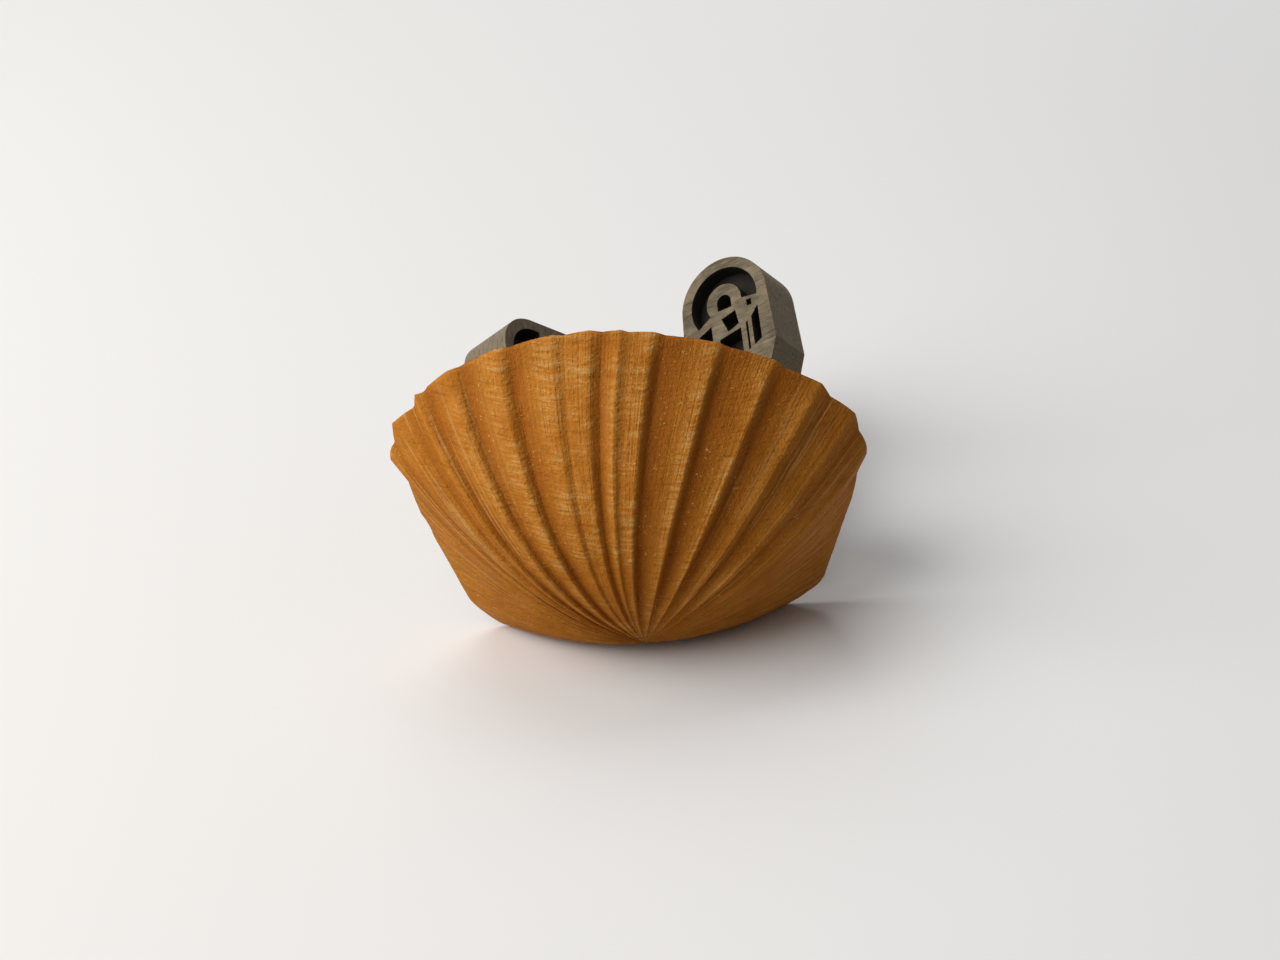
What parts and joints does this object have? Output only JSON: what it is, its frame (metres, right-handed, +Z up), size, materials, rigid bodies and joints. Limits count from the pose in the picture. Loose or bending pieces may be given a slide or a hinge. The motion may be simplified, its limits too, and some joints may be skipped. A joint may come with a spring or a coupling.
{
  "type": "incense burner",
  "caption": "Incense burner: a ribbed fan-shaped shell bowl with a scalloped rim, set against a folding tripod stand whose crossed planks have carved interlace on their arms.",
  "frame": {"origin": "on the table under the middle of the whole object's box", "axes": "+Z up, -Y towards someone facing the shell's ribbed side, +X to their right"},
  "size_m": [0.1282, 0.1552, 0.0871],
  "materials": {
    "wood_filled_plastic": "matte, printed from wood-filled plastic, streaked",
    "dark_plastic": "matte grey-brown, printed in layers"
  },
  "bodies": {
    "stand": {"stand_hub": "dark_plastic", "pivot_pin_right": "dark_plastic", "pivot_pin_left": "dark_plastic", "pivot_pin_front": "dark_plastic"},
    "leg_right": {"leg_right": "dark_plastic"},
    "leg_left": {"leg_left": "dark_plastic"},
    "leg_front": {"leg_front": "dark_plastic"},
    "shell": {"shell_bowl": "wood_filled_plastic"}
  },
  "joints": [
    {"name": "right_leg_fold", "type": "hinge", "parent": "stand", "child": "leg_right", "pos_m": [0.03687, 0.02297, 0.019], "axis": [0.9925, 0.1219, 0], "range_deg": [0, 40]},
    {"name": "left_leg_fold", "type": "hinge", "parent": "stand", "child": "leg_left", "pos_m": [-0.0006, 0.03887, 0.019], "axis": [-0.6018, 0.7986, 0], "range_deg": [0, 40]},
    {"name": "front_leg_fold", "type": "hinge", "parent": "stand", "child": "leg_front", "pos_m": [0.00436, -0.00153, 0.019], "axis": [-0.3907, -0.9205, 0], "range_deg": [0, 40]},
    {"name": "shell_take_away", "type": "slide", "parent": "stand", "child": "shell", "axis": [0.1235, -0.8572, 0.5], "range_m": [0, 0.12]}
  ]
}
